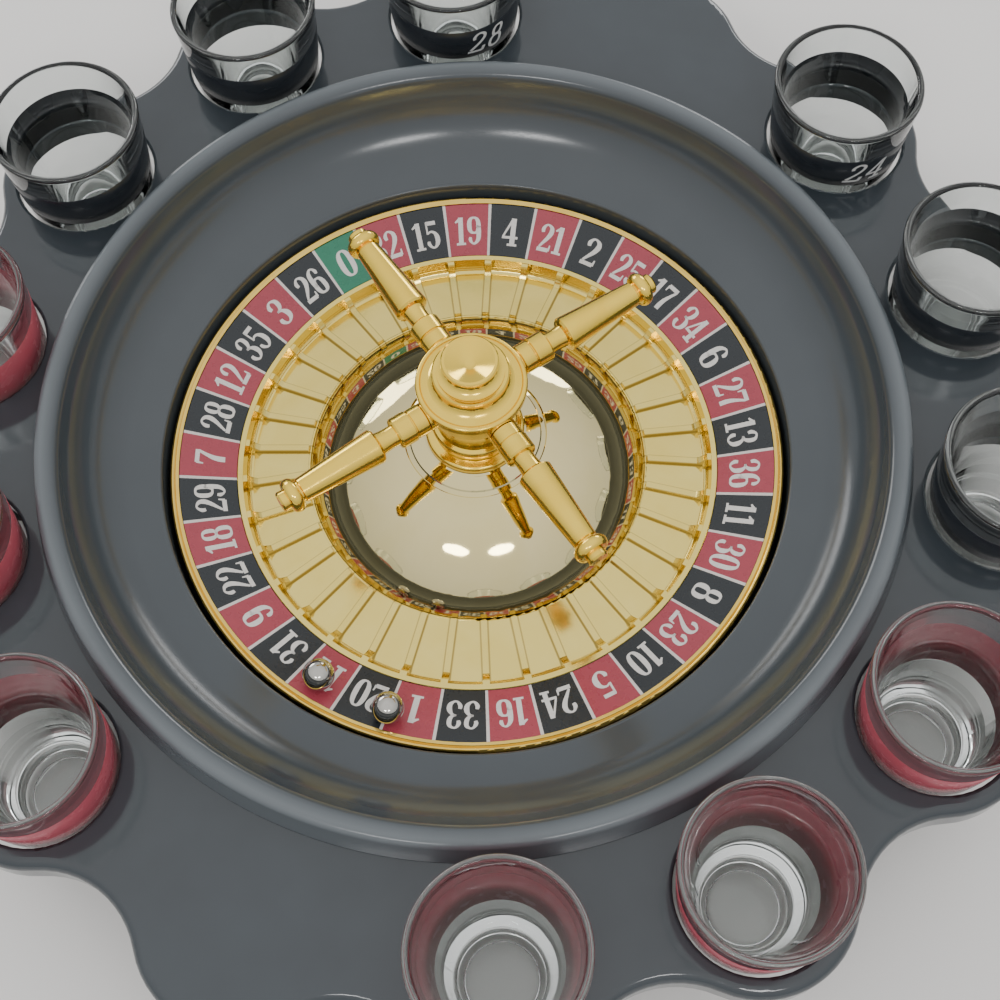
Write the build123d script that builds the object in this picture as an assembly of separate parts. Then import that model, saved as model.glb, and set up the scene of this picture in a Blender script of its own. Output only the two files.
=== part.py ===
from build123d import *
import math
import os

os.makedirs("parts", exist_ok=True)

# Drinking roulette game, all sizes in millimetres, the table is the plane z = 0,
# the wheel turns round the Z axis and the front of the game faces -Y.

# overall sizes
trayTop = 36.0            # height of the tray's flat top above the table
ringOfGlasses = 132.0     # radius of the circle that the glasses stand on
bowlRadius = 108.6        # outside radius of the bowl's rim
bowlRise = 8.0            # height of the bowl's rim above the tray
rotorRadius = 80.5        # outside radius of the turning wheel
numberLevel = 18.0        # height of the number ring's outer edge
glassHeight = 59.0        # height of a glass
rimRadius = 19.7          # outside radius of a glass at its rim
baseRadius = 15.0         # outside radius of a glass at its foot
ballRadius = 4.0          # radius of a ball
numberWidth = 14.2        # width of the number ring
pocketWidth = 19.4        # width of the pocket ring inside it
domeRise = 22.3           # height of the mirror dome above its own edge
handleReach = 53.9        # distance of a handle's tip from the wheel's axis
glassFloor = 13.0         # thickness of a glass's base

# counts and angles
places = 14               # evenly spaced places round the tray
emptyPlaces = (1, 8)      # two of them have no hole
firstPlace = 92.4         # angle of place 0, the places run clockwise
cells = 37                # numbers and pockets on the wheel
firstCell = 121.2         # angle of the middle of the cell for 0
firstHandle = 123.2       # angle of handle 1
ballSpots = ((5.6, -122.3), (4.9, -107.1))   # distance in from the numbers' outer edge, angle

# walls and fits
wall = 2.2                # moulded walls of the tray and the bowl
thin = 1.2                # walls of the plated pieces
seat = 0.1                # space left where two fixed pieces meet
apart = 0.3               # space between pieces of different bodies
running = 0.06            # radial clearance of the bearing
holeGap = 0.75            # radial clearance of a glass in its hole


def lathe(start, *steps):
    # turns a closed outline of straight lines and arcs, (r, z) points, round the Z axis
    edges = []
    here = start
    for step in steps + (start,):
        if len(step) == 4:
            edges.append(ThreePointArc(here, (step[0], step[1]), (step[2], step[3])))
            here = (step[2], step[3])
        else:
            if abs(step[0] - here[0]) + abs(step[1] - here[1]) > 1e-6:
                edges.append(Line(here, step))
            here = (step[0], step[1])
    face = make_face(Curve() + edges)
    return revolve(Plane.XZ * face, Axis.Z)


def tube(outside, inside, low, high):
    body = Pos(0, 0, (low + high) / 2) * Cylinder(outside, high - low)
    if inside > 0:
        body -= Pos(0, 0, (low + high) / 2) * Cylinder(inside, high - low + 2)
    return body


def at(radius, angle, height=0.0):
    a = math.radians(angle)
    return Pos(radius * math.cos(a), radius * math.sin(a), height)


def save(name, shape):
    shape.label = name
    export_step(shape, "parts/" + name + ".step")
    print(name, len(shape.solids()), "solid", round(shape.volume), "mm3")


placeStep = 360.0 / places
placeAngles = [firstPlace - placeStep * k for k in range(places)]
glassAngles = [placeAngles[k] for k in range(places) if k not in emptyPlaces]
cellStep = 360.0 / cells


# glasses: a tapered tumbler with a thick base, rounded rim and slightly hollow foot
def glassOutside(z):
    return baseRadius + (rimRadius - baseRadius) * z / glassHeight


mouth = rimRadius - 1.7
lipZ = glassHeight - 1.3
innerLow = baseRadius - 4.0
glass = lathe(
    (0.0, 0.9),
    (baseRadius - 5.0, 0.9),
    (baseRadius - 4.0, 0.0),
    (baseRadius - 1.2, 0.0),
    (baseRadius - 0.3, 0.35, glassOutside(1.2), 1.2),
    (glassOutside(lipZ), lipZ),
    (rimRadius - 0.85, glassHeight, mouth, lipZ),
    (innerLow + 2.3, glassFloor + 15.0),
    (innerLow, glassFloor + 4.0),
    (innerLow - 1.2, glassFloor + 0.9, innerLow - 4.0, glassFloor),
    (0.0, glassFloor - 0.4),
)
for n, angle in enumerate(glassAngles):
    save("glass_%02d" % (n + 1), at(ringOfGlasses, angle) * glass)

# tray: the outline has a lobe round each place and a round notch between two lobes
holeRadius = glassOutside(trayTop) + holeGap
lobeRadius = holeRadius + 4.6
notchBottom = ringOfGlasses + 9.6
skirtDepth = 9.0
middle = ringOfGlasses * math.cos(math.radians(placeStep / 2))
across = ringOfGlasses * math.sin(math.radians(placeStep / 2))
# centre of the notch circle on the line between two places, so that it touches both lobes
shift = notchBottom - lobeRadius
notchCentre = (middle ** 2 + across ** 2 - shift ** 2) / (2 * (middle - shift))
notchRadius = notchCentre - notchBottom


def trayOutline(inset):
    lobe = lobeRadius - inset
    notch = notchRadius + inset
    edges = []
    for k in range(places):
        a = placeAngles[k]
        b = a - placeStep / 2
        z = a - placeStep
        centreA = (ringOfGlasses * math.cos(math.radians(a)), ringOfGlasses * math.sin(math.radians(a)))
        centreB = (notchCentre * math.cos(math.radians(b)), notchCentre * math.sin(math.radians(b)))
        centreC = (ringOfGlasses * math.cos(math.radians(z)), ringOfGlasses * math.sin(math.radians(z)))

        def touch(centre):
            length = math.dist(centre, centreB)
            return tuple(centre[i] + (centreB[i] - centre[i]) * lobe / length for i in (0, 1))
        first = touch(centreA)
        second = touch(centreC)
        deep = notchCentre - notch
        edges.append(ThreePointArc(first, (deep * math.cos(math.radians(b)), deep * math.sin(math.radians(b))), second))
        far = ringOfGlasses + lobe
        following = placeAngles[(k + 1) % places] - placeStep / 2
        nextNotch = (notchCentre * math.cos(math.radians(following)), notchCentre * math.sin(math.radians(following)))
        length = math.dist(centreC, nextNotch)
        third = tuple(centreC[i] + (nextNotch[i] - centreC[i]) * lobe / length for i in (0, 1))
        edges.append(ThreePointArc(second, (far * math.cos(math.radians(z)), far * math.sin(math.radians(z))), third))
    return make_face(Curve() + edges)


openingRadius = bowlRadius - 4.4
legRadius = 4.0
legPlace = ringOfGlasses - 8.0
footPad = 1.5
tray = Pos(0, 0, trayTop - skirtDepth) * extrude(trayOutline(0.0), skirtDepth)
outerTop = [e for e in tray.edges() if abs(e.center().Z - trayTop) < 1e-4]
tray = fillet(outerTop, 2.6)
tray -= Pos(0, 0, trayTop - skirtDepth - 1) * extrude(trayOutline(wall), skirtDepth + 1 - wall)
for angle in glassAngles:
    tray += at(ringOfGlasses, angle) * tube(holeRadius + wall, 0, trayTop - 4.4, trayTop - 0.5)
tray += tube(openingRadius + wall, 0, trayTop - 6.5, trayTop - 0.5)
tray -= tube(openingRadius, 0, trayTop - 10, trayTop + 2)
for angle in glassAngles:
    tray -= at(ringOfGlasses, angle) * tube(holeRadius, 0, trayTop - 6, trayTop + 2)
topHoles = [e for e in tray.edges() if e.geom_type == GeomType.CIRCLE and abs(e.center().Z - trayTop) < 1e-4]
topHoles = [e for e in topHoles if abs(e.radius - holeRadius) < 1e-3 or abs(e.radius - openingRadius) < 1e-3]
tray = fillet(topHoles, 0.9)
save("tray", tray)

# legs: seven posts under the plate, each on a rubber pad
legAngles = [placeAngles[k] - placeStep / 2 for k in range(0, places, 2)]
legs = Part()
for angle in legAngles:
    legs += at(legPlace, angle) * tube(legRadius, 0, footPad, trayTop - wall - seat)
save("tray_legs", legs)
feet = Part()
for angle in legAngles:
    feet += at(legPlace, angle) * tube(legRadius + 1.0, 0, 0.0, footPad)
save("tray_feet", feet)

# bowl: rolled rim, steep side, sloping ball track, lip, well and floor
lipGap = 1.2
lipRadius = rotorRadius + lipGap
lipLevel = numberLevel + 4.0
floorTop = 2.8
floorLow = 1.0
boreRadius = 3.0
bossRadius = 9.0
bossTop = numberLevel - 3.0
r = bowlRadius
h = trayTop + bowlRise
span = r - 6.5 - lipRadius
rise = h - 6.0 - lipLevel
bowl = lathe(
    (boreRadius, floorLow),
    (boreRadius, bossTop),
    (bossRadius - 1.0, bossTop),
    (bossRadius, bossTop - 1.0),
    (bossRadius + 1.2, floorTop),
    (lipRadius - 3.0, floorTop),
    (lipRadius - 0.9, floorTop + 0.9, lipRadius, floorTop + 3.0),
    (lipRadius, lipLevel - 0.6),
    (lipRadius + 0.25, lipLevel - 0.1, lipRadius + 0.9, lipLevel + 0.1),
    (lipRadius + 0.39 * span, lipLevel + 0.16 * rise),
    (lipRadius + 0.765 * span, lipLevel + 0.5 * rise, lipRadius + span, lipLevel + rise),
    (r - 6.0, h - 2.6),
    (r - 5.2, h - 0.9, r - 3.6, h),
    (r - 1.9, h),
    (r - 0.55, h - 0.5, r, h - 1.8),
    (r + 1.5, trayTop + apart),
    (r - 0.8, trayTop + apart),
    (r - 2.1, h - 2.7),
    (r - 3.5, h - 2.3),
    (r - 5.6, trayTop + 0.4),
    (lipRadius + 0.9 * span, lipLevel + 0.51 * rise, lipRadius + 0.49 * span, lipLevel + 0.04 * rise),
    (lipRadius + wall, lipLevel - 2.3),
    (lipRadius + wall, floorTop + 2.6),
    (lipRadius + 1.5, floorLow + 0.9, lipRadius - 1.6, floorLow),
    (lipRadius - 5.4, floorLow),
    (lipRadius - 5.4, floorLow + 0.4),
    (lipRadius - 13.6, floorLow + 0.4),
    (lipRadius - 13.6, floorLow),
)
save("bowl", bowl)
save("bowl_foot", tube(lipRadius - 5.5, lipRadius - 13.5, 0.0, floorLow + 0.4))

# axle with a flange under the floor, thrust washer, bush, washer and nut
bearing = boreRadius
bushRadius = 6.0
washerTop = bossTop + 1.0
bushTop = numberLevel + 23.3
axleTop = bushTop + 7.0
axle = lathe(
    (0.0, 0.3),
    (7.5, 0.3),
    (7.5, floorLow),
    (bearing, floorLow),
    (bearing, axleTop - 0.8),
    (bearing - 0.8, axleTop),
    (0.0, axleTop),
)
save("axle", axle)
save("thrust_washer", tube(bossRadius - 1.0, bearing + 0.1, bossTop, washerTop))
bush = tube(bushRadius, bearing + running, washerTop + 0.05, bushTop)
save("bush", bush)
save("nut_washer", tube(bushRadius - 0.2, bearing + 0.05, bushTop + 0.1, bushTop + 0.9))
nutTop = bushTop + 5.5
nut = Pos(0, 0, bushTop + 0.9) * extrude(RegularPolygon(5.6, 6), nutTop - bushTop - 0.9)
nut -= tube(bearing, 0, bushTop, bushTop + 8)
save("retaining_nut", nut)

# rotor base: a dish with a bearing sleeve, its outer flange carries the number ring
ringOut = rotorRadius - 2.5
ringIn = ringOut - numberWidth
ringDrop = 4.5
ringThick = 0.8
slope = ringDrop / (ringOut - ringIn)


def ringLevel(radius):
    return numberLevel - slope * (ringOut - radius)


baseLow = floorTop + 0.8
plateTop = baseLow + 1.6
under = ringThick + seat
drum = rotorRadius - 1.3
shelfIn = ringIn - 1.0
sleeve = bushRadius + 0.05
hatIn = bossRadius + 2.4
rotorBase = lathe(
    (hatIn, baseLow),
    (drum - 0.6, baseLow),
    (drum, baseLow + 0.6),
    (drum, ringLevel(drum) - under),
    (shelfIn, ringLevel(shelfIn) - under),
    (shelfIn, ringLevel(shelfIn) - under - 1.6),
    (drum - 1.6, ringLevel(drum - 1.6) - under - 1.6),
    (drum - 1.6, plateTop),
    (hatIn + 1.6, plateTop),
    (hatIn + 1.6, washerTop + 1.7),
    (sleeve + 1.6, washerTop + 1.7),
    (sleeve + 1.6, washerTop + 8.0),
    (sleeve, washerTop + 8.0),
    (sleeve, washerTop + 0.1),
    (hatIn, washerTop + 0.1),
)
save("rotor_base", rotorBase)

# number ring: a thin cone of 37 printed cells
numberRing = lathe(
    (ringIn, ringLevel(ringIn) - ringThick),
    (ringOut, numberLevel - ringThick),
    (ringOut, numberLevel),
    (ringIn, ringLevel(ringIn)),
)
save("number_ring", numberRing)

# rim trim: plated ring over the edge of the base, with a fine groove on top
trimIn = ringOut + 0.1
trimLow = numberLevel - 10.0
rimTrim = lathe(
    (drum + seat, trimLow),
    (rotorRadius, trimLow),
    (rotorRadius, numberLevel - 0.5),
    (rotorRadius - 0.3, numberLevel + 0.2, rotorRadius - 0.9, numberLevel + 0.35),
    (rotorRadius - 1.3, numberLevel + 0.1),
    (rotorRadius - 1.6, numberLevel + 0.5),
    (trimIn, numberLevel + 0.35),
    (trimIn, ringLevel(trimIn) - ringThick),
    (drum + seat, ringLevel(drum + seat) - ringThick),
)
save("rim_trim", rimTrim)

# pocket ring: lip, short curved wall, trough, floor rising inwards, inner skirt
pocketIn = ringIn - pocketWidth
lip = numberLevel - 4.35
crest = numberLevel - 5.9
trough = numberLevel - 8.4
wallFoot = ringIn - 3.7
crestRadius = pocketIn + 0.7
climb = (crest - 0.1 - trough) / (wallFoot - crestRadius)


def pocketFloor(radius):
    return trough + climb * (wallFoot - radius)


pocketRing = lathe(
    (ringIn - 0.1, lip - 0.9),
    (ringIn - 0.1, lip - 0.15),
    (ringIn - 0.3, lip),
    (ringIn - 1.6, lip),
    (ringIn - 2.3, lip - 2.3),
    (ringIn - 2.75, lip - 3.6, wallFoot, trough),
    (crestRadius, pocketFloor(crestRadius)),
    (pocketIn + 0.15, crest - 0.1, pocketIn, crest - 0.6),
    (pocketIn, plateTop + seat),
    (pocketIn + thin, plateTop + seat),
    (pocketIn + thin, pocketFloor(pocketIn + thin) - thin),
    (wallFoot, trough - thin),
    (ringIn - 1.9, lip - 4.2, ringIn - 1.3, lip - 2.4),
    (ringIn - 1.15, lip - 0.9),
)
fretWidth = 1.8
fretHeight = 1.1
fretStart = crestRadius + 0.2
fretEnd = wallFoot - 1.5
fret = make_face(
    Curve()
    + [
        Line((fretStart, pocketFloor(fretStart) - 0.6), (fretStart, pocketFloor(fretStart) + fretHeight)),
        Line((fretStart, pocketFloor(fretStart) + fretHeight), (fretEnd, pocketFloor(fretEnd) + fretHeight)),
        ThreePointArc((fretEnd, pocketFloor(fretEnd) + fretHeight), (ringIn - 3.7, lip - 1.5), (ringIn - 2.7, lip - 0.2)),
        Line((ringIn - 2.7, lip - 0.2), (ringIn - 1.5, lip - 0.2)),
        Line((ringIn - 1.5, lip - 0.2), (ringIn - 1.8, lip - 2.4)),
        Line((ringIn - 1.8, lip - 2.4), (wallFoot, trough - 0.6)),
        Line((wallFoot, trough - 0.6), (fretStart, pocketFloor(fretStart) - 0.6)),
    ]
)
fretBar = extrude(Plane.XZ * fret, fretWidth / 2, both=True)
frets = [Rot(0, 0, firstCell - cellStep * (k + 0.5)) * fretBar for k in range(cells)]
pocketRing = pocketRing + frets
save("pocket_ring", pocketRing)

# dome: a thin mirror shell over the middle, with a fine groove and a seat for the collar
domeRadius = pocketIn - seat
domeSpread = domeRadius + thin
domeBase = numberLevel - 8.3
seatRadius = 12.6
grooveIn = 16.7
grooveOut = 18.4
grooveDepth = 0.35


def domeLevel(radius):
    return domeBase + domeRise * (1 - (radius / domeSpread) ** 2) ** 0.77


def innerLevel(radius):
    return domeLevel(radius * domeSpread / (domeSpread - thin)) - thin


def curvePoints(level, start, end, steps):
    radii = [start + (end - start) * k / steps for k in range(steps + 1)]
    return [(radius, level(radius)) for radius in radii]


collarSeat = domeLevel(seatRadius) + 0.1
shellIn = domeRadius - thin
hole = 10.0
outerLow = curvePoints(domeLevel, domeRadius, grooveOut, 12)
outerHigh = curvePoints(domeLevel, grooveIn, seatRadius + 0.5, 4)
innerCurve = curvePoints(innerLevel, seatRadius, shellIn, 12)
domeEdges = [
    Line((domeRadius, plateTop + seat), outerLow[0]),
    Spline(outerLow),
    Line(outerLow[-1], (grooveOut - 0.3, domeLevel(grooveOut) - grooveDepth)),
    Line((grooveOut - 0.3, domeLevel(grooveOut) - grooveDepth), (grooveIn + 0.3, domeLevel(grooveIn) - grooveDepth)),
    Line((grooveIn + 0.3, domeLevel(grooveIn) - grooveDepth), outerHigh[0]),
    Spline(outerHigh),
    Line(outerHigh[-1], (seatRadius, collarSeat)),
    Line((seatRadius, collarSeat), (hole, collarSeat)),
    Line((hole, collarSeat), (hole, innerCurve[0][1])),
    Line((hole, innerCurve[0][1]), innerCurve[0]),
    Spline(innerCurve),
    Line(innerCurve[-1], (shellIn, plateTop + seat)),
    Line((shellIn, plateTop + seat), (domeRadius, plateTop + seat)),
]
dome = revolve(Plane.XZ * make_face(Curve() + domeEdges), Axis.Z)
save("dome", dome)

# collar: turned neck on the dome, bored for the bush and the nut
nutRoom = 7.2
hubLow = numberLevel + 29.3
collarLow = collarSeat + seat
neck = 9.3
collar = lathe(
    (sleeve, collarLow),
    (seatRadius - 0.3, collarLow),
    (seatRadius, collarLow + 0.3),
    (seatRadius, collarLow + 1.1),
    (seatRadius - 0.3, collarLow + 2.0, seatRadius - 1.0, collarLow + 2.3),
    (neck + 1.0, collarLow + 2.6),
    (neck + 0.8, collarLow + 3.6, neck + 1.0, collarLow + 4.6),
    (neck + 1.3, collarLow + 5.3),
    (neck + 1.6, collarLow + 6.3, neck + 1.2, collarLow + 7.2),
    (neck + 0.3, collarLow + 7.6),
    (neck - 0.1, collarLow + 9.6, neck, hubLow - seat - 2.4),
    (neck + 0.9, hubLow - seat - 1.4),
    (neck + 0.9, hubLow - seat),
    (nutRoom, hubLow - seat),
    (nutRoom, bushTop - 0.6),
    (sleeve, bushTop - 0.6),
)
save("collar", collar)

# hub: turret head with a disc, a step above it and four socket bosses
handleLevel = numberLevel + 34.7
hubRadius = 11.4
discRadius = 13.6
discTop = numberLevel + 39.0
stepTop = numberLevel + 43.9
stepRadius = 9.3
socket = 2.5
hub = lathe(
    (0.0, axleTop + 0.8),
    (nutRoom, axleTop + 0.8),
    (nutRoom, hubLow),
    (hubRadius - 0.6, hubLow),
    (hubRadius, hubLow + 0.6),
    (hubRadius, discTop - 2.8),
    (discRadius - 0.5, discTop - 2.6),
    (discRadius, discTop - 2.0),
    (discRadius, discTop - 0.8),
    (discRadius - 0.2, discTop - 0.2, discRadius - 0.8, discTop),
    (discRadius - 1.0, discTop),
    (discRadius - 1.2, discTop - 0.25),
    (discRadius - 1.4, discTop),
    (stepRadius + 1.2, discTop + 0.3),
    (stepRadius - 0.1, discTop + 1.4, stepRadius - 0.6, stepTop - 1.3),
    (stepRadius, stepTop - 0.9),
    (stepRadius, stepTop - 0.3),
    (stepRadius - 0.3, stepTop),
    (2.6, stepTop),
    (2.6, stepTop - 4.0),
    (0.0, stepTop - 4.0),
)
handleAngles = [firstHandle - 90.0 * k for k in range(4)]
bossEnd = discRadius + 0.1
socketWall = 3.75


def spoke(radius, start, end, angle):
    # a bar along the radius of a handle
    bar = Pos((start + end) / 2, 0, handleLevel) * Rot(0, 90, 0) * Cylinder(radius, end - start)
    return Rot(0, 0, angle) * bar


hub += [spoke(socketWall, hubRadius - 2.0, bossEnd, angle) for angle in handleAngles]
hub -= [spoke(socket, hubRadius - 3.6, bossEnd + 1.0, angle) for angle in handleAngles]
save("hub", hub)

# handle: turned bar with a spigot, two rings, a long taper, a bead and a knob
spigotFit = 0.05
tip = handleReach
handle = lathe(
    (0.0, hubRadius - 3.5),
    (socket - spigotFit, hubRadius - 3.5),
    (socket - spigotFit, bossEnd + seat),
    (3.5, bossEnd + seat),
    (3.8, bossEnd + seat + 0.3),
    (3.8, 17.1),
    (3.6, 17.3),
    (3.6, 17.5),
    (4.0, 17.7),
    (4.0, 21.5),
    (3.7, 21.9),
    (2.7, 22.1),
    (2.65, 24.3, 2.9, 26.5),
    (3.9, 26.8),
    (4.4, 27.3),
    (4.4, 27.7),
    (3.1, tip - 6.0),
    (2.7, tip - 5.7),
    (2.7, tip - 5.4),
    (3.6, tip - 5.2),
    (4.35, tip - 3.7, 3.6, tip - 2.2),
    (2.5, tip - 2.0),
    (2.6, tip - 0.6),
    (2.2, tip - 0.15),
    (0.0, tip),
)
for n, angle in enumerate(handleAngles):
    save("handle_%d" % (n + 1), Rot(0, 0, angle) * Pos(0, 0, handleLevel) * Rot(0, 90, 0) * handle)

# finial: spigot, cove and a disc with a dished top
finialLow = stepTop + seat
crown = numberLevel + 49.2
crownRadius = 6.9
dishRadius = 6.0
dishDepth = 2.5
finial = lathe(
    (0.0, stepTop - 3.8),
    (2.55, stepTop - 3.8),
    (2.55, finialLow),
    (stepRadius - 1.1, finialLow),
    (stepRadius - 1.1, finialLow + 0.4),
    (6.5, finialLow + 1.2, 5.9, finialLow + 3.2),
    (crownRadius - 0.4, crown - 1.1),
    (crownRadius, crown - 0.8),
    (crownRadius, crown - 0.3),
    (crownRadius - 0.3, crown),
    (dishRadius, crown),
    (1.6, crown - dishDepth + 0.35),
    (1.1, crown - dishDepth + 0.14, 0.5, crown - dishDepth + 0.03),
    (0.0, crown - dishDepth),
)
save("finial", finial)

# balls, resting on the number ring
tilt = math.atan(slope)
for name, (inset, angle) in zip(("ball_a", "ball_b"), ballSpots):
    radius = ringOut - inset
    lift = (ballRadius + seat) / math.cos(tilt)
    save(name, at(radius, angle, ringLevel(radius) + lift) * Sphere(ballRadius))
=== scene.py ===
import bpy
import bmesh
import math
from mathutils import Matrix, Vector


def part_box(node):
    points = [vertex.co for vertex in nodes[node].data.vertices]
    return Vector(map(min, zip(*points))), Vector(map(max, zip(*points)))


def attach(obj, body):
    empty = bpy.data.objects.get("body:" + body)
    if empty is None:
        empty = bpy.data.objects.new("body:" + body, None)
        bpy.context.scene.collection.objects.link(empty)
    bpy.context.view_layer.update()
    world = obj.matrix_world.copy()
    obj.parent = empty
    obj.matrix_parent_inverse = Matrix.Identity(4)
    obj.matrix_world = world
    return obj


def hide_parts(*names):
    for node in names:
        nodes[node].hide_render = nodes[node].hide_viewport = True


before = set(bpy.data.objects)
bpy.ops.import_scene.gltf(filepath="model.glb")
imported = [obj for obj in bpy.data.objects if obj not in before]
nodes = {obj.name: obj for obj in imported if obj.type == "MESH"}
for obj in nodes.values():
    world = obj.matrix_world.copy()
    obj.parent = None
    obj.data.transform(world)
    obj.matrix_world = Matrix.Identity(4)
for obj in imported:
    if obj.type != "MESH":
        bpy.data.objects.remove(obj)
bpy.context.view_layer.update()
print("frame loaded,", len(nodes), "pieces")

mm = 0.001


def linear(code):
    # sRGB hex to the linear colour that a socket takes
    out = []
    for i in (0, 2, 4):
        c = int(code[i:i + 2], 16) / 255
        out.append(c / 12.92 if c <= 0.04045 else ((c + 0.055) / 1.055) ** 2.4)
    return (*out, 1.0)


def addNode(tree, kind, inputs=None, **settings):
    # one node with its settings, its values and its links
    node = tree.nodes.new(kind)
    for name, value in settings.items():
        setattr(node, name, value)
    for key, value in (inputs or {}).items():
        if isinstance(value, bpy.types.NodeSocket):
            tree.links.new(value, node.inputs[key])
        else:
            node.inputs[key].default_value = value
    return node


def blend(tree, factor, first, second):
    # from the first colour to the second
    return addNode(tree, "ShaderNodeMix", {"Factor": factor, "A": first, "B": second}, data_type="RGBA")


def noise(tree, place, sizeMm, detail):
    return addNode(tree, "ShaderNodeTexNoise", {"Vector": place, "Scale": 1 / (sizeMm * mm), "Detail": detail})


def startMaterial(name):
    mat = bpy.data.materials.new(name)
    mat.use_nodes = True
    tree = mat.node_tree
    return mat, tree, tree.nodes["Principled BSDF"]


def paint(mat, *names):
    # gives a finish to carried-over pieces
    for name in names:
        mesh = nodes[name].data
        mesh.materials.clear()
        mesh.materials.append(mat)


# moulded and rubber finishes

# each FromMm value is a radius; past it the rim is painted paler, a painted highlight, and made duller by rubbing; 300
# lies past every edge, so nothing changes
blackPlastic = {
    "tray": {"colour": "31373C", "worn": "394045", "roughness": 0.10, "speckMm": 0.6, "waveMm": 14.0,
             "paintedRimSheen": "4A5055", "sheenAndRubFromMm": 300.0},
    # the bowl's pale rim colour is a painted highlight, not the plastic's own tone
    "bowl": {"colour": "3B4247", "worn": "43494E", "roughness": 0.16, "speckMm": 0.5, "waveMm": 22.0,
             "paintedRimSheen": "6A7074", "sheenAndRubFromMm": 103.5},
    "rotor": {"colour": "1B1D1F", "worn": "25282A", "roughness": 0.16, "speckMm": 0.4, "waveMm": 9.0,
              "paintedRimSheen": "2E3134", "sheenAndRubFromMm": 300.0},
}
sheenAndRubWidthMm = 3


def polishedAbs(name, spec):
    # injection-moulded ABS from a polished mould: black with a clear, slightly wavy gloss,
    # duller where a rim is rubbed, and painted paler there: a painted highlight standing in for the bright reflections
    # along the rim
    mat, tree, shader = startMaterial(name)
    place = addNode(tree, "ShaderNodeTexCoord").outputs["Object"]
    wave = noise(tree, place, spec["waveMm"], 2.0)
    speck = noise(tree, place, spec["speckMm"], 3.0)
    skin = blend(tree, wave.outputs["Fac"], linear(spec["colour"]), linear(spec["worn"]))
    haze = addNode(tree, "ShaderNodeMapRange", {"Value": speck.outputs["Fac"], "From Min": 0.3, "From Max": 0.7,
                                                "To Min": spec["roughness"] * 0.75, "To Max": spec["roughness"] * 1.35})
    flat = addNode(tree, "ShaderNodeVectorMath", {0: place, 1: (1.0, 1.0, 0.0)}, operation="MULTIPLY")
    radius = addNode(tree, "ShaderNodeVectorMath", {0: flat.outputs["Vector"]}, operation="LENGTH")
    sheenAndRub = addNode(tree, "ShaderNodeMapRange", {"Value": radius.outputs["Value"], "From Min": spec["sheenAndRubFromMm"] * mm,
                                               "From Max": (spec["sheenAndRubFromMm"] + sheenAndRubWidthMm) * mm,
                                               "To Min": 0.0, "To Max": 0.7})
    # painted highlight: past the radius the colour is blended towards a pale tone that stands in for the bright
    # reflections along the rim
    tone = blend(tree, sheenAndRub.outputs["Result"], skin.outputs["Result"], linear(spec["paintedRimSheen"]))
    dull = addNode(tree, "ShaderNodeMath", {0: sheenAndRub.outputs["Result"], 1: 0.05, 2: haze.outputs["Result"]},
                   operation="MULTIPLY_ADD")
    bump = addNode(tree, "ShaderNodeBump", {"Height": wave.outputs["Fac"], "Strength": 0.05, "Distance": 0.4 * mm})
    tree.links.new(tone.outputs["Result"], shader.inputs["Base Color"])
    tree.links.new(dull.outputs[0], shader.inputs["Roughness"])
    tree.links.new(bump.outputs["Normal"], shader.inputs["Normal"])
    shader.inputs["IOR"].default_value = 1.53
    shader.inputs["Specular IOR Level"].default_value = 0.6
    return mat


softMouldings = {
    "rubber": {"colour": "1A1A1A", "worn": "2B2B2B", "roughness": 0.75, "grainMm": 0.35, "bump": 0.3},
    "nylon": {"colour": "D8D5CC", "worn": "C9C5BA", "roughness": 0.45, "grainMm": 0.25, "bump": 0.12},
}


def satinMoulding(name, spec):
    # moulded rubber or nylon from a spark-eroded tool: dull, with a slight grain
    mat, tree, shader = startMaterial(name)
    place = addNode(tree, "ShaderNodeTexCoord").outputs["Object"]
    grain = noise(tree, place, spec["grainMm"], 4.0)
    tone = blend(tree, grain.outputs["Fac"], linear(spec["colour"]), linear(spec["worn"]))
    sheen = addNode(tree, "ShaderNodeMapRange", {"Value": grain.outputs["Fac"], "To Min": spec["roughness"] * 0.85,
                                                 "To Max": spec["roughness"] * 1.15})
    bump = addNode(tree, "ShaderNodeBump", {"Height": grain.outputs["Fac"], "Strength": spec["bump"],
                                            "Distance": 0.1 * mm})
    tree.links.new(tone.outputs["Result"], shader.inputs["Base Color"])
    tree.links.new(sheen.outputs["Result"], shader.inputs["Roughness"])
    tree.links.new(bump.outputs["Normal"], shader.inputs["Normal"])
    shader.inputs["IOR"].default_value = 1.52
    return mat


trayPlastic = polishedAbs("polished ABS tray", blackPlastic["tray"])
bowlPlastic = polishedAbs("polished ABS bowl", blackPlastic["bowl"])
rotorPlastic = polishedAbs("moulded ABS rotor", blackPlastic["rotor"])
footRubber = satinMoulding("moulded rubber", softMouldings["rubber"])
nylon = satinMoulding("moulded nylon", softMouldings["nylon"])
paint(trayPlastic, "tray", "tray_legs")
paint(rotorPlastic, "rotor_base")
paint(footRubber, "tray_feet", "bowl_foot")
paint(nylon, "thrust_washer")
print("plastic and rubber done")

# metal finishes

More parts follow.
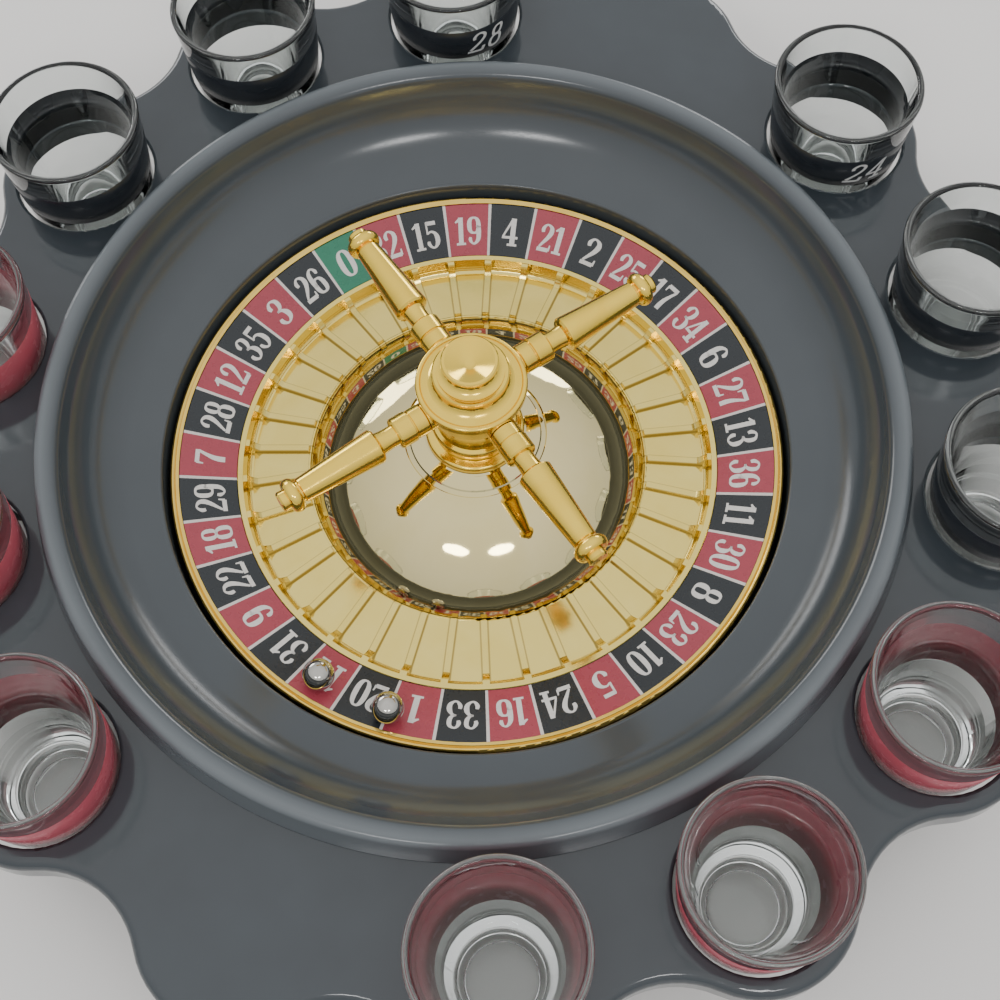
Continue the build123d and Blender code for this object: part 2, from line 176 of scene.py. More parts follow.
metals = {
    "turret": {"colour": "FBD960", "deep": "F4CB4A", "roughness": 0.15, "grainMm": 0.5, "smearMm": 7.0, "bump": 0.03},
    # the pocket's dark line at the foot of each fret is painted shade
    "pocket": {"colour": "EFDA82", "deep": "E5CB6A", "roughness": 0.12, "grainMm": 0.6, "smearMm": 11.0, "bump": 0.05,
               "frets": 37, "firstFret": 121.2 - 180 / 37, "fretHalfMm": 0.98, "fretsEndMm": 60.2,
               "footShadeMm": 0.34, "footShade": "86703C", "footShadeDepth": 0.6},
    "dome": {"colour": "E4D6A4", "deep": "DAC98C", "roughness": 0.035, "grainMm": 0.6, "smearMm": 16.0, "bump": 0.015},
    "trim": {"colour": "EED074", "deep": "DDB656", "roughness": 0.12, "grainMm": 0.5, "smearMm": 9.0, "bump": 0.03},
    "bush": {"colour": "C9A45A", "deep": "A98440", "roughness": 0.28, "grainMm": 0.3, "smearMm": 4.0, "bump": 0.10},
    "steel": {"colour": "B9BBBD", "deep": "8F9194", "roughness": 0.22, "grainMm": 0.3, "smearMm": 5.0, "bump": 0.08},
    "ball": {"colour": "C4C1BB", "deep": "A5A29C", "roughness": 0.05, "grainMm": 0.4, "smearMm": 3.0, "bump": 0.01},
}


def fretSeams(tree, place, spec):
    # painted shade: its depth in the narrow line along both feet of each fret, where the crease lies in shade, and 0
    # elsewhere
    parts = addNode(tree, "ShaderNodeSeparateXYZ", {"Vector": place})
    angle = addNode(tree, "ShaderNodeMath", {0: parts.outputs["Y"], 1: parts.outputs["X"]}, operation="ARCTAN2")
    step = 2 * math.pi / spec["frets"]
    past = addNode(tree, "ShaderNodeMath", {0: math.radians(spec["firstFret"]), 1: angle.outputs[0]},
                   operation="SUBTRACT")
    count = addNode(tree, "ShaderNodeMath", {0: past.outputs[0], 1: step}, operation="DIVIDE")
    share = addNode(tree, "ShaderNodeMath", {0: count.outputs[0], 1: 0.5}, operation="PINGPONG")
    flat = addNode(tree, "ShaderNodeVectorMath", {0: place, 1: (step, step, 0.0)}, operation="MULTIPLY")
    reach = addNode(tree, "ShaderNodeVectorMath", {0: flat.outputs["Vector"]}, operation="LENGTH")
    away = addNode(tree, "ShaderNodeMath", {0: share.outputs[0], 1: reach.outputs["Value"]}, operation="MULTIPLY")
    offSide = addNode(tree, "ShaderNodeMath", {0: away.outputs[0], 1: spec["fretHalfMm"] * mm},
                      operation="SUBTRACT")
    gap = addNode(tree, "ShaderNodeMath", {0: offSide.outputs[0]}, operation="ABSOLUTE")
    line = addNode(tree, "ShaderNodeMapRange", {"Value": gap.outputs[0], "From Min": 0.3 * spec["footShadeMm"] * mm,
                                                "From Max": spec["footShadeMm"] * mm,
                                                "To Min": spec["footShadeDepth"], "To Max": 0.0})
    end = spec["fretsEndMm"] * mm * step
    within = addNode(tree, "ShaderNodeMath", {0: reach.outputs["Value"], 1: end}, operation="LESS_THAN")
    footShade = addNode(tree, "ShaderNodeMath", {0: line.outputs["Result"], 1: within.outputs[0]}, operation="MULTIPLY")
    return footShade.outputs[0]


def polishedMetal(name, spec):
    # a polished or plated metal skin: mirror-like, with faint handling smears and fine polishing grain
    mat, tree, shader = startMaterial(name)
    place = addNode(tree, "ShaderNodeTexCoord").outputs["Object"]
    smear = addNode(tree, "ShaderNodeTexNoise", {"Vector": place, "Scale": 1 / (spec["smearMm"] * mm),
                                                 "Detail": 4.0, "Distortion": 0.6})
    grain = noise(tree, place, spec["grainMm"], 3.0)
    tone = blend(tree, smear.outputs["Fac"], linear(spec["colour"]), linear(spec["deep"]))
    # painted shade: a dark line along the foot of each fret
    if "frets" in spec:
        tone = blend(tree, fretSeams(tree, place, spec), tone.outputs["Result"], linear(spec["footShade"]))
    sheen = addNode(tree, "ShaderNodeMapRange", {"Value": smear.outputs["Fac"], "From Min": 0.35, "From Max": 0.7,
                                                 "To Min": spec["roughness"] * 0.8, "To Max": spec["roughness"] * 1.6})
    bump = addNode(tree, "ShaderNodeBump", {"Height": grain.outputs["Fac"], "Strength": spec["bump"],
                                            "Distance": 0.06 * mm})
    tree.links.new(tone.outputs["Result"], shader.inputs["Base Color"])
    tree.links.new(sheen.outputs["Result"], shader.inputs["Roughness"])
    tree.links.new(bump.outputs["Normal"], shader.inputs["Normal"])
    shader.inputs["Metallic"].default_value = 1.0
    return mat


turretGold = polishedMetal("gold-plated turret", metals["turret"])
pocketGold = polishedMetal("metallised gold pockets", metals["pocket"])
domeGold = polishedMetal("metallised gold dome", metals["dome"])
trimGold = polishedMetal("metallised gold trim", metals["trim"])
bushBrass = polishedMetal("turned brass", metals["bush"])
zincSteel = polishedMetal("zinc-plated steel", metals["steel"])
ballSteel = polishedMetal("polished steel", metals["ball"])
paint(turretGold, "collar", "hub", "finial", "handle_1", "handle_2", "handle_3", "handle_4")
paint(pocketGold, "pocket_ring")
paint(domeGold, "dome")
paint(trimGold, "rim_trim")
paint(bushBrass, "bush")
paint(zincSteel, "axle", "nut_washer", "retaining_nut")
paint(ballSteel, "ball_a", "ball_b")
print("metals done")

# number ring: cells in print, digits as a thin printed layer

ring = {
    "order": [0, 32, 15, 19, 4, 21, 2, 25, 17, 34, 6, 27, 13, 36, 11, 30, 8, 23, 10,
              5, 24, 16, 33, 1, 20, 14, 31, 9, 22, 18, 29, 7, 28, 12, 35, 3, 26],
    "firstCell": 121.2, "innerMm": 63.8, "thickMm": 0.8,
    "red": "A5404D", "black": "23282C", "green": "2C7A5E", "line": "D9D2CD",
    "lineMm": 0.75, "lineRowMm": 71.0, "digitRow": 70.6, "digitHeight": 8.2, "digitWidth": 4.1, "singleWidth": 4.7,
    "digitGap": 0.15, "printMm": 0.05, "liftMm": 0.02,
}
cellCount = len(ring["order"])
low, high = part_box("number_ring")
ringOuter = high.x
ringTop = high.z
ringSlope = (ringTop - low.z - ring["thickMm"] * mm) / (ringOuter - ring["innerMm"] * mm)


def ringLevel(radius):
    return ringTop - (ringOuter - radius) * ringSlope


def printedCells(name, spec):
    # screen print under a clear coat: flat ink colours in 37 wedges with a pale line at each border
    mat, tree, shader = startMaterial(name)
    place = addNode(tree, "ShaderNodeTexCoord").outputs["Object"]
    parts = addNode(tree, "ShaderNodeSeparateXYZ", {"Vector": place})
    angle = addNode(tree, "ShaderNodeMath", {0: parts.outputs["Y"], 1: parts.outputs["X"]}, operation="ARCTAN2")
    step = 2 * math.pi / cellCount
    past = addNode(tree, "ShaderNodeMath", {0: math.radians(spec["firstCell"]) + step / 2, 1: angle.outputs[0]},
                   operation="SUBTRACT")
    count = addNode(tree, "ShaderNodeMath", {0: past.outputs[0], 1: step}, operation="DIVIDE")
    wrapped = addNode(tree, "ShaderNodeMath", {0: count.outputs[0], 1: 0.0, 2: float(cellCount)}, operation="WRAP")
    index = addNode(tree, "ShaderNodeMath", {0: wrapped.outputs[0]}, operation="FLOOR")
    parity = addNode(tree, "ShaderNodeMath", {0: index.outputs[0], 1: 2.0}, operation="MODULO")
    isFirst = addNode(tree, "ShaderNodeMath", {0: index.outputs[0], 1: 0.5}, operation="LESS_THAN")
    share = addNode(tree, "ShaderNodeMath", {0: wrapped.outputs[0]}, operation="FRACT")
    toMiddle = addNode(tree, "ShaderNodeMath", {0: share.outputs[0], 1: 0.5}, operation="SUBTRACT")
    offMiddle = addNode(tree, "ShaderNodeMath", {0: toMiddle.outputs[0]}, operation="ABSOLUTE")
    edge = 0.5 - spec["lineMm"] * mm / 2 / (step * spec["lineRowMm"] * mm)
    isLine = addNode(tree, "ShaderNodeMath", {0: offMiddle.outputs[0], 1: edge}, operation="GREATER_THAN")
    ink = blend(tree, parity.outputs[0], linear(spec["black"]), linear(spec["red"]))
    withGreen = blend(tree, isFirst.outputs[0], ink.outputs["Result"], linear(spec["green"]))
    withLine = blend(tree, isLine.outputs[0], withGreen.outputs["Result"], linear(spec["line"]))
    mottle = noise(tree, place, 2.5, 3.0)
    fade = addNode(tree, "ShaderNodeMapRange", {"Value": mottle.outputs["Fac"], "To Min": 0.9, "To Max": 1.1})
    tone = addNode(tree, "ShaderNodeHueSaturation", {"Color": withLine.outputs["Result"],
                                                     "Value": fade.outputs["Result"]})
    rough = addNode(tree, "ShaderNodeMapRange", {"Value": mottle.outputs["Fac"], "To Min": 0.22, "To Max": 0.34})
    weave = noise(tree, place, 0.4, 2.0)
    bump = addNode(tree, "ShaderNodeBump", {"Height": weave.outputs["Fac"], "Strength": 0.06, "Distance": 0.05 * mm})
    tree.links.new(tone.outputs["Color"], shader.inputs["Base Color"])
    tree.links.new(rough.outputs["Result"], shader.inputs["Roughness"])
    tree.links.new(bump.outputs["Normal"], shader.inputs["Normal"])
    shader.inputs["IOR"].default_value = 1.5
    return mat


def printInk(name, colour, roughness=0.4):
    # opaque white screen ink: flat, faintly mottled and grained where the mesh laid it thin
    mat, tree, shader = startMaterial(name)
    place = addNode(tree, "ShaderNodeTexCoord").outputs["Object"]
    mottle = noise(tree, place, 0.5, 3.0)
    tone = blend(tree, mottle.outputs["Fac"], linear(colour), linear("CFCBC6"))
    sheen = addNode(tree, "ShaderNodeMapRange", {"Value": mottle.outputs["Fac"], "To Min": roughness * 0.85,
                                                 "To Max": roughness * 1.2})
    bump = addNode(tree, "ShaderNodeBump", {"Height": mottle.outputs["Fac"], "Strength": 0.08, "Distance": 0.05 * mm})
    tree.links.new(tone.outputs["Result"], shader.inputs["Base Color"])
    tree.links.new(sheen.outputs["Result"], shader.inputs["Roughness"])
    tree.links.new(bump.outputs["Normal"], shader.inputs["Normal"])
    return mat


def bowlStroke(centreX, centreY, radiusX, radiusY, thick, slim, power=0.8):
    # the closed bowl of a 0, 6, 8 or 9, thick at its sides and slim at top and bottom
    points = []
    for k in range(37):
        a = 2 * math.pi * k / 36
        c, s = math.cos(a), math.sin(a)
        x = centreX + radiusX * math.copysign(abs(c) ** power, c)
        y = centreY + radiusY * math.copysign(abs(s) ** power, s)
        points.append((x, y, slim + (thick - slim) * abs(c) ** 1.3))
    return points


# each digit is a few strokes of (x, y, half width) in a box 1 wide and 2 high
digitStrokes = {
    "0": [("line", bowlStroke(0.5, 1.0, 0.33, 0.92, 0.165, 0.07))],
    "1": [("line", [(0.52, 0.05, 0.16), (0.52, 1.97, 0.16)]), ("line", [(0.2, 0.08, 0.08), (0.84, 0.08, 0.08)]),
          ("line", [(0.14, 1.62, 0.05), (0.3, 1.72, 0.09), (0.5, 1.88, 0.12)])],
    "2": [("curve", [(0.24, 1.36, 0.10), (0.2, 1.6, 0.13), (0.32, 1.86, 0.08), (0.52, 1.92, 0.07), (0.76, 1.74, 0.13),
                     (0.8, 1.42, 0.16), (0.66, 1.04, 0.14), (0.4, 0.62, 0.10), (0.2, 0.3, 0.07)]),
          ("line", [(0.08, 0.14, 0.14), (0.88, 0.14, 0.14)]), ("line", [(0.88, 0.1, 0.08), (0.93, 0.52, 0.04)])],
    "3": [("curve", [(0.24, 1.4, 0.10), (0.2, 1.62, 0.13), (0.34, 1.88, 0.08), (0.54, 1.92, 0.07), (0.76, 1.74, 0.13),
                     (0.76, 1.36, 0.14), (0.6, 1.1, 0.09), (0.38, 1.05, 0.06)]),
          ("curve", [(0.38, 1.05, 0.06), (0.64, 0.98, 0.09), (0.81, 0.68, 0.16), (0.79, 0.32, 0.14), (0.56, 0.08, 0.07),
                     (0.34, 0.1, 0.08), (0.18, 0.36, 0.13), (0.2, 0.58, 0.10)])],
    "4": [("line", [(0.6, 1.9, 0.07), (0.1, 0.66, 0.06)]), ("line", [(0.04, 0.6, 0.09), (0.98, 0.6, 0.09)]),
          ("line", [(0.67, 0.05, 0.15), (0.67, 1.97, 0.15)]), ("line", [(0.38, 0.08, 0.08), (0.96, 0.08, 0.08)])],
    "5": [("line", [(0.18, 1.82, 0.14), (0.86, 1.82, 0.14)]), ("line", [(0.22, 1.9, 0.06), (0.2, 1.04, 0.06)]),
          ("curve", [(0.2, 1.06, 0.05), (0.4, 1.2, 0.07), (0.66, 1.12, 0.10), (0.81, 0.82, 0.16), (0.79, 0.4, 0.15),
                     (0.58, 0.09, 0.08), (0.36, 0.1, 0.08), (0.19, 0.34, 0.12), (0.2, 0.54, 0.09)])],
    "6": [("curve", [(0.76, 1.46, 0.09), (0.78, 1.66, 0.12), (0.66, 1.88, 0.07), (0.46, 1.9, 0.08), (0.24, 1.6, 0.14),
                     (0.18, 1.1, 0.16), (0.19, 0.6, 0.15)]),
          ("line", bowlStroke(0.5, 0.62, 0.32, 0.54, 0.155, 0.07))],
    "7": [("line", [(0.1, 1.82, 0.14), (0.9, 1.82, 0.14)]), ("line", [(0.12, 1.86, 0.07), (0.08, 1.42, 0.04)]),
          ("curve", [(0.84, 1.74, 0.08), (0.66, 1.3, 0.10), (0.5, 0.82, 0.14), (0.44, 0.4, 0.16), (0.44, 0.04, 0.16)])],
    "8": [("line", bowlStroke(0.5, 1.49, 0.27, 0.43, 0.14, 0.065)),
          ("line", bowlStroke(0.5, 0.55, 0.33, 0.48, 0.155, 0.07))],
    "9": [("curve", [(0.24, 0.54, 0.09), (0.22, 0.34, 0.12), (0.34, 0.12, 0.07), (0.54, 0.1, 0.08), (0.76, 0.4, 0.14),
                     (0.82, 0.9, 0.16), (0.81, 1.4, 0.15)]),
          ("line", bowlStroke(0.5, 1.38, 0.32, 0.54, 0.155, 0.07))],
}


def smoothPath(points, parts=6):
    # a rounded path through the points
    out = []
    for i in range(len(points) - 1):
        p0 = points[max(i - 1, 0)]
        p1, p2 = points[i], points[i + 1]
        p3 = points[min(i + 2, len(points) - 1)]
        for k in range(parts):
            t = k / parts
            out.append(tuple(0.5 * (2 * p1[j] + (p2[j] - p0[j]) * t
                                    + (2 * p0[j] - 5 * p1[j] + 4 * p2[j] - p3[j]) * t * t
                                    + (3 * p1[j] - p0[j] - 3 * p2[j] + p3[j]) * t ** 3) for j in (0, 1, 2)))
    out.append(points[-1])
    return out


def cutPath(points, parts=6):
    # a straight path in short steps, so that it bends with a round surface
    out = []
    for a, b in zip(points, points[1:]):
        steps = parts if math.dist(a[:2], b[:2]) > 0.3 else 1
        out += [tuple(a[j] + (b[j] - a[j]) * k / steps for j in (0, 1, 2)) for k in range(steps)]
    return out + [points[-1]]


def digitRibbons(digit, pen=None):
    # left and right edge points of each stroke; pen gives a plain stroke of one width
    ribbons = []
    for kind, points in digitStrokes[digit]:
        path = smoothPath(points) if kind == "curve" else cutPath(points)
        left, right = [], []
        for i, (x, y, half) in enumerate(path):
            ahead = path[min(i + 1, len(path) - 1)]
            behind = path[max(i - 1, 0)]
            dx, dy = ahead[0] - behind[0], ahead[1] - behind[1]
            size = math.hypot(dx, dy) or 1.0
            h = pen if pen else half
            left.append((x - dy / size * h, y + dx / size * h))
            right.append((x + dy / size * h, y - dx / size * h))
        ribbons.append((left, right))
    return ribbons


def addRibbon(bm, left, right, place, thick):
    # a printed stroke: a thin slab between two edges, bent onto its surface by place(x, y, lift)
    rows = []
    for a, b in zip(left, right):
        rows.append([bm.verts.new(place(a[0], a[1], thick)), bm.verts.new(place(b[0], b[1], thick)),
                     bm.verts.new(place(b[0], b[1], 0.0)), bm.verts.new(place(a[0], a[1], 0.0))])
    for p, q in zip(rows, rows[1:]):
        for i in range(4):
            bm.faces.new((p[i], p[(i + 1) % 4], q[(i + 1) % 4], q[i]))
    bm.faces.new(rows[0])
    bm.faces.new(rows[-1][::-1])


def meshPiece(name, bm, mat, body, smooth=False):
    # turns a bmesh into a piece that rides on its body
    bmesh.ops.recalc_face_normals(bm, faces=bm.faces)
    mesh = bpy.data.meshes.new(name)
    bm.to_mesh(mesh)
    bm.free()
    mesh.materials.append(mat)
    for face in mesh.polygons:
        face.use_smooth = smooth
    piece = bpy.data.objects.new(name, mesh)
    bpy.context.scene.collection.objects.link(piece)
    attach(piece, body)
    return piece


def numberWidth(text, width, gap):
    # the width of each digit, a 1 being narrower, and of the whole number
    widths = [0.8 * width if c == "1" else width for c in text]
    return widths, sum(widths) + gap * (len(text) - 1)


def addNumber(bm, text, width, height, gap, place, thick, pen=None, slant=0.0):
    # a whole number, centred on the origin of place
    widths, total = numberWidth(text, width, gap)
    start = -total / 2
    for c, w in zip(text, widths):
        for left, right in digitRibbons(c, pen):
            def put(x, y, lift, start=start, w=w):
                u = start + (x - 0.5) * width + w / 2 + slant * (y - 1) * height / 2
                v = (y - 1) * height / 2
                return place(u, v, lift)
            addRibbon(bm, left, right, put, thick)
        start += w + gap


# wheel bowl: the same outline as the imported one, turned finely so that the gloss on its rim runs clean

bowl = {
    "rim": 108.6, "top": 44.0, "trayTop": 36.3, "lip": 81.7, "lipLevel": 22.0, "floorTop": 2.8, "floorLow": 1.0,
    "wall": 2.2, "bore": 3.0, "boss": 9.0, "bossTop": 15.0, "arcParts": 14, "turns": 384, "sharpDegrees": 24,
}


def arcPoints(start, middle, end, parts):
    # points after start along the circle through three points
    (ax, ay), (bx, by), (cx, cy) = start, middle, end
    d = 2 * (ax * (by - cy) + bx * (cy - ay) + cx * (ay - by))
    ux = ((ax * ax + ay * ay) * (by - cy) + (bx * bx + by * by) * (cy - ay) + (cx * cx + cy * cy) * (ay - by)) / d
    uy = ((ax * ax + ay * ay) * (cx - bx) + (bx * bx + by * by) * (ax - cx) + (cx * cx + cy * cy) * (bx - ax)) / d
    radius = math.hypot(ax - ux, ay - uy)
    first, last = math.atan2(ay - uy, ax - ux), math.atan2(cy - uy, cx - ux)
    sweep = (last - first + math.pi) % (2 * math.pi) - math.pi
    angles = [first + sweep * k / parts for k in range(1, parts + 1)]
    return [(ux + radius * math.cos(a), uy + radius * math.sin(a)) for a in angles]


def bowlOutline(spec):
    # from the bore up over the boss, out along floor, well and track, over the rim and back underneath;
    # two numbers are a corner, four are the middle and the end of an arc
    r, h, lip, level = spec["rim"], spec["top"], spec["lip"], spec["lipLevel"]
    low, top, seat, wall = spec["floorLow"], spec["floorTop"], spec["trayTop"], spec["wall"]
    span, rise = r - 6.5 - lip, h - 6.0 - level
    steps = [
        (spec["bore"], spec["bossTop"]), (spec["boss"] - 1.0, spec["bossTop"]), (spec["boss"], spec["bossTop"] - 1.0),
        (spec["boss"] + 1.2, top), (lip - 3.0, top), (lip - 0.9, top + 0.9, lip, top + 3.0), (lip, level - 0.6),
        (lip + 0.25, level - 0.1, lip + 0.9, level + 0.1), (lip + 0.39 * span, level + 0.16 * rise),
        (lip + 0.765 * span, level + 0.5 * rise, lip + span, level + rise), (r - 6.0, h - 2.6),
        (r - 5.2, h - 0.9, r - 3.6, h), (r - 1.9, h), (r - 0.55, h - 0.5, r, h - 1.8), (r + 1.5, seat),
        (r - 0.8, seat), (r - 2.1, h - 2.7), (r - 3.5, h - 2.3), (r - 5.6, seat + 0.1),
        (lip + 0.9 * span, level + 0.51 * rise, lip + 0.49 * span, level + 0.04 * rise),
        (lip + wall, level - 2.3), (lip + wall, top + 2.6), (lip + 1.5, low + 0.9, lip - 1.6, low),
        (lip - 5.4, low), (lip - 5.4, low + 0.4), (lip - 13.6, low + 0.4), (lip - 13.6, low),
    ]
    points = [(spec["bore"], low)]
    for step in steps:
        points += arcPoints(points[-1], step[:2], step[2:], spec["arcParts"]) if len(step) == 4 else [step]
    return points


def turned(outline, count, sharpDegrees):
    # a closed outline turned round the axis; ring edges at corners stay crisp
    bm = bmesh.new()
    rings = []
    angles = [2 * math.pi * i / count for i in range(count)]
    for r, z in outline:
        rings.append([bm.verts.new((r * mm * math.cos(a), r * mm * math.sin(a), z * mm)) for a in angles])
    size = len(outline)
    for k in range(size):
        a, b = rings[k], rings[(k + 1) % size]
        for i in range(count):
            bm.faces.new((a[i], a[(i + 1) % count], b[(i + 1) % count], b[i]))
    for k in range(size):
        before, here, after = outline[k - 1], outline[k], outline[(k + 1) % size]
        bend = math.atan2(after[1] - here[1], after[0] - here[0]) - math.atan2(here[1] - before[1], here[0] - before[0])
        if abs((bend + math.pi) % (2 * math.pi) - math.pi) > math.radians(sharpDegrees):
            for i in range(count):
                bm.edges.get((rings[k][i], rings[k][(i + 1) % count])).smooth = False
    return bm


bowlMesh = turned(bowlOutline(bowl), bowl["turns"], bowl["sharpDegrees"])
fineBowl = meshPiece("bowl_moulding", bowlMesh, bowlPlastic, "bowl", smooth=True)
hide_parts("bowl")
print("bowl done")

# cells and digits on the ring

paint(printedCells("screen-printed cells", ring), "number_ring")
whiteInk = printInk("white screen ink", "E9E6E2")
bm = bmesh.new()
ringTilt = math.atan(ringSlope)
for k, number in enumerate(ring["order"]):
    cell = math.radians(ring["firstCell"] - 360 / cellCount * k)

    def onRing(u, v, lift, cell=cell):
        r = (ring["digitRow"] + v * math.cos(ringTilt)) * mm
        a = cell - u * mm / r
        return Vector((r * math.cos(a), r * math.sin(a), ringLevel(r) + ring["liftMm"] * mm + lift))

    wide = ring["digitWidth"] if number > 9 else ring["singleWidth"]
    addNumber(bm, str(number), wide, ring["digitHeight"], ring["digitGap"], onRing, ring["printMm"] * mm)
meshPiece("ring_digits", bm, whiteInk, "rotor")
print("number ring done")

# glasses: clear, each with a printed band and its number

# bandGap lies below zero, so that the band bites into the glass
glass = {
    "foot": 15.0, "rim": 19.7, "tall": 59.0, "sides": 96, "places": 14, "empty": (1, 8), "first": 92.4,
    "bandLow": {"black": 37.6, "red": 30.5}, "bandHigh": 49.2, "bandGap": -0.06, "bandThick": 0.12, "bandEdge": 0.15,
    "numberLevel": 43.4, "numberGap": 0.02, "numberThick": 0.03,
    "digitHeight": 8.4, "digitWidth": 5.2, "digitGap": 0.7, "pen": 0.09, "slant": 0.22,
    # place on the tray: number, and the turn of its number in degrees from facing the wheel
    "black": {0: (28, 28.6), 2: (24, 66.0), 3: (8, 150.0), 4: (35, -140.0), 12: (15, 170.0), 13: (22, -160.0)},
    "red": {5: (3, 175.0), 6: (19, -168.0), 7: (12, 160.0), 9: (30, 180.0), 10: (27, -150.0), 11: (36, 155.0)},
}


def pressedGlass(name):
    # soda-lime glass, pressed and fire-polished: clear and colourless, with a slight wave from the mould
    mat, tree, shader = startMaterial(name)
    place = addNode(tree, "ShaderNodeTexCoord").outputs["Object"]
    wave = noise(tree, place, 9, 1.0)
    bump = addNode(tree, "ShaderNodeBump", {"Height": wave.outputs["Fac"], "Strength": 0.08, "Distance": 0.3 * mm})
    tint = blend(tree, wave.outputs["Fac"], linear("FBFDFC"), linear("F1F7F5"))
    polish = addNode(tree, "ShaderNodeMapRange", {"Value": wave.outputs["Fac"], "To Min": 0.0, "To Max": 0.02})
    tree.links.new(tint.outputs["Result"], shader.inputs["Base Color"])
    tree.links.new(polish.outputs["Result"], shader.inputs["Roughness"])
    tree.links.new(bump.outputs["Normal"], shader.inputs["Normal"])
    shader.inputs["IOR"].default_value = 1.5
    shader.inputs["Transmission Weight"].default_value = 1.0
    return mat


def bandInk(name, colour, deep, alpha, roughness):
    # ceramic ink fired on the glass: glossy, and the red one lets some light through
    mat, tree, shader = startMaterial(name)
    place = addNode(tree, "ShaderNodeTexCoord").outputs["Object"]
    mottle = noise(tree, place, 4, 4.0)
    tone = blend(tree, mottle.outputs["Fac"], linear(colour), linear(deep))
    sheen = addNode(tree, "ShaderNodeMapRange", {"Value": mottle.outputs["Fac"], "To Min": roughness * 0.8,
                                                 "To Max": roughness * 1.3})
    bump = addNode(tree, "ShaderNodeBump", {"Height": mottle.outputs["Fac"], "Strength": 0.06, "Distance": 0.1 * mm})
    tree.links.new(tone.outputs["Result"], shader.inputs["Base Color"])
    tree.links.new(sheen.outputs["Result"], shader.inputs["Roughness"])
    tree.links.new(bump.outputs["Normal"], shader.inputs["Normal"])
    shader.inputs["Alpha"].default_value = alpha
    return mat


clearGlass = pressedGlass("pressed clear glass")
bandInks = {
    "black": bandInk("black ceramic ink", "1B1F24", "2A2E33", 1.0, 0.22),
    "red": bandInk("red ceramic ink", "B24C5A", "C1606C", 0.82, 0.25),
}
glassInk = printInk("silver-white ink", "DDDFE0", 0.35)


def glassRadius(z):
    return glass["foot"] + (glass["rim"] - glass["foot"]) * z / glass["tall"]


places = [k for k in range(glass["places"]) if k not in glass["empty"]]
sideAngles = [2 * math.pi * i / glass["sides"] for i in range(glass["sides"])]
for n, k in enumerate(places):
    name = "glass_%02d" % (n + 1)
    paint(clearGlass, name)
    low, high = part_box(name)
    centre = (low + high) / 2
    inward = glass["first"] - 360 / glass["places"] * k + 180
    colour = "black" if k in glass["black"] else "red"
    number, turn = glass[colour][k]
    facing = math.radians(inward + turn)
    bm = bmesh.new()
    rows = []
    bottom, top, edge = glass["bandLow"][colour], glass["bandHigh"], glass["bandEdge"]
    for z, out in ((bottom, 0), (bottom + edge, 1), (top - edge, 1), (top, 0)):
        r = (glassRadius(z) + glass["bandGap"] + out * glass["bandThick"]) * mm
        rows.append([bm.verts.new((centre.x + r * math.cos(a), centre.y + r * math.sin(a), z * mm))
                     for a in sideAngles])
    for a, b in zip(rows, rows[1:] + rows[:1]):
        for i in range(glass["sides"]):
            j = (i + 1) % glass["sides"]
            bm.faces.new((a[i], a[j], b[j], b[i]))
    meshPiece(name + "_band", bm, bandInks[colour], name, smooth=True)

    def onGlass(u, v, lift, centre=centre, facing=facing):
        z = glass["numberLevel"] + v
        r = (glassRadius(z) + glass["bandGap"] + glass["bandThick"] + glass["numberGap"]) * mm + lift
        a = facing + u * mm / r
        return Vector((centre.x + r * math.cos(a), centre.y + r * math.sin(a), z * mm))

    bm = bmesh.new()
    addNumber(bm, str(number), glass["digitWidth"], glass["digitHeight"], glass["digitGap"], onGlass,
              glass["numberThick"] * mm, pen=glass["pen"], slant=glass["slant"])
    meshPiece(name + "_number", bm, glassInk, name)
print("glasses done")

# floor, light and camera

studio = {
    "floor": "F1EFEC", "floorDeep": "E3E0DD", "floorSize": 3.0, "floorLevel": -0.0003,
    "skyLow": "B4B6B8", "skyHigh": "FFFFFF", "skyPower": 1.24,
    # place, point it faces, width, length and power of each soft panel
    "panels": [((-0.27, -0.80, 1.00), (0, 0.08, 0.03), 0.30, 0.12, 1.3),
               ((0.25, -0.80, 1.00), (0, 0.08, 0.03), 0.30, 0.12, 1.3),
               ((-0.95, 1.20, 0.50), (0, 0, 0.04), 0.90, 0.45, 5.0),
               ((0.60, 1.35, 0.42), (0, 0, 0.04), 0.60, 0.35, 3.0)],
    "eye": (12.2, -173.9, 379.9), "elevation": 64.8, "roll": -0.88, "lens": 54.94, "shift": (-0.0233, -0.0373),
}
bm = bmesh.new()
bmesh.ops.create_grid(bm, x_segments=4, y_segments=4, size=studio["floorSize"] / 2)
mesh = bpy.data.meshes.new("floor")
bm.to_mesh(mesh)
bm.free()
floor = bpy.data.objects.new("floor", mesh)
bpy.context.scene.collection.objects.link(floor)
floor.location.z = studio["floorLevel"]
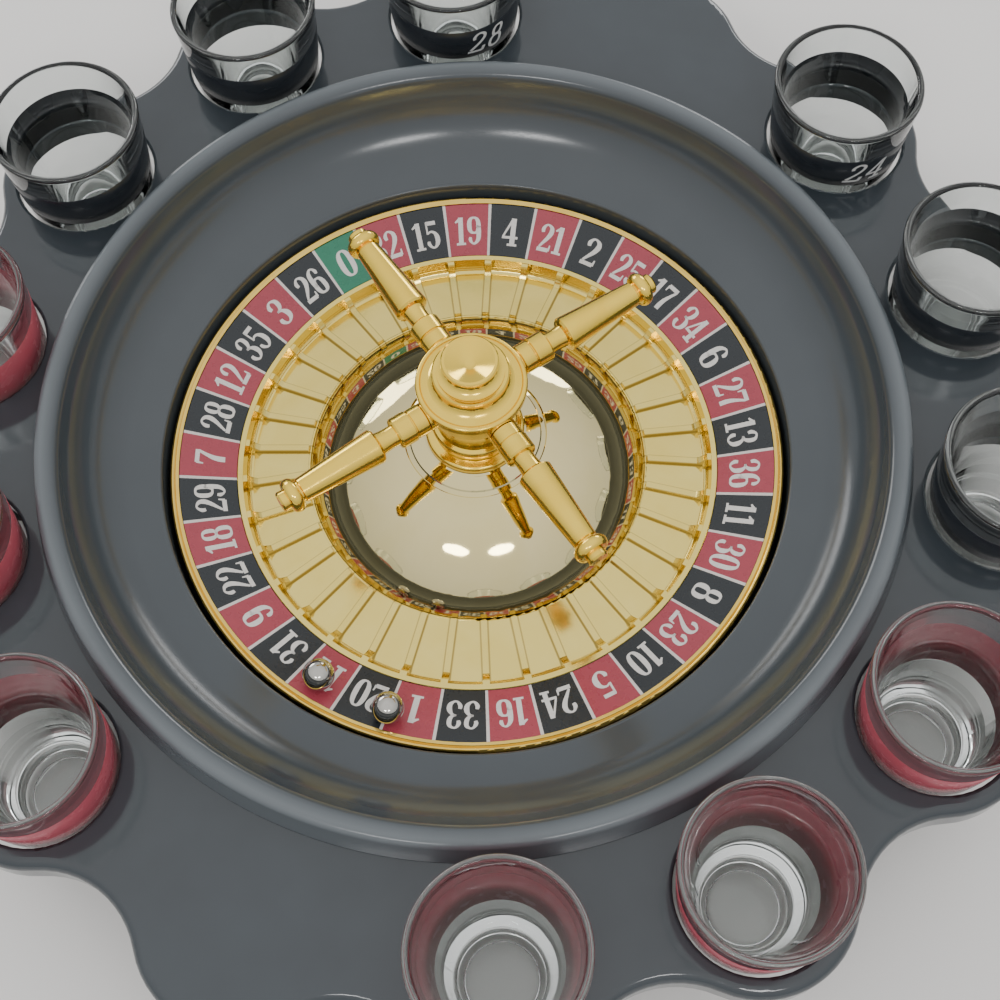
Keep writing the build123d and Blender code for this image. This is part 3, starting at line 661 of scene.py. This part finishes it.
mat, tree, shader = startMaterial("matt board")  # pale sprayed board, a little uneven
place = addNode(tree, "ShaderNodeTexCoord").outputs["Object"]
cloud = addNode(tree, "ShaderNodeTexNoise", {"Vector": place, "Scale": 4.0, "Detail": 3.0})
tone = blend(tree, cloud.outputs["Fac"], linear(studio["floor"]), linear(studio["floorDeep"]))
tree.links.new(tone.outputs["Result"], shader.inputs["Base Color"])
shader.inputs["Roughness"].default_value = 0.6
mesh.materials.append(mat)

world = bpy.data.worlds.new("studio")
bpy.context.scene.world = world
world.use_nodes = True
tree = world.node_tree
sky = addNode(tree, "ShaderNodeTexCoord").outputs["Generated"]
parts = addNode(tree, "ShaderNodeSeparateXYZ", {"Vector": sky})
rise = addNode(tree, "ShaderNodeMapRange", {"Value": parts.outputs["Z"], "From Min": -0.1, "From Max": 0.9})
tone = blend(tree, rise.outputs["Result"], linear(studio["skyLow"]), linear(studio["skyHigh"]))
background = tree.nodes["Background"]
tree.links.new(tone.outputs["Result"], background.inputs["Color"])
background.inputs["Strength"].default_value = studio["skyPower"]

for n, (spot, target, width, length, power) in enumerate(studio["panels"]):
    data = bpy.data.lights.new("panel_%d" % (n + 1), "AREA")
    data.shape = "ELLIPSE"
    data.size = width
    data.size_y = length
    data.energy = power
    lamp = bpy.data.objects.new(data.name, data)
    bpy.context.scene.collection.objects.link(lamp)
    lamp.location = spot
    lamp.rotation_euler = (Vector(target) - Vector(spot)).to_track_quat("-Z", "Y").to_euler()

eye = bpy.data.cameras.new("camera")
eye.lens = studio["lens"]
eye.sensor_width = 36.0
eye.shift_x, eye.shift_y = studio["shift"]
eye.clip_start, eye.clip_end = 0.01, 20.0
camera = bpy.data.objects.new("camera", eye)
bpy.context.scene.collection.objects.link(camera)
tilt = Matrix.Rotation(math.radians(90 - studio["elevation"]), 4, "X")
roll = Matrix.Rotation(math.radians(studio["roll"]), 4, "Z")
camera.matrix_world = Matrix.Translation(Vector(studio["eye"]) * mm) @ tilt @ roll
bpy.context.scene.camera = camera
print("studio done")
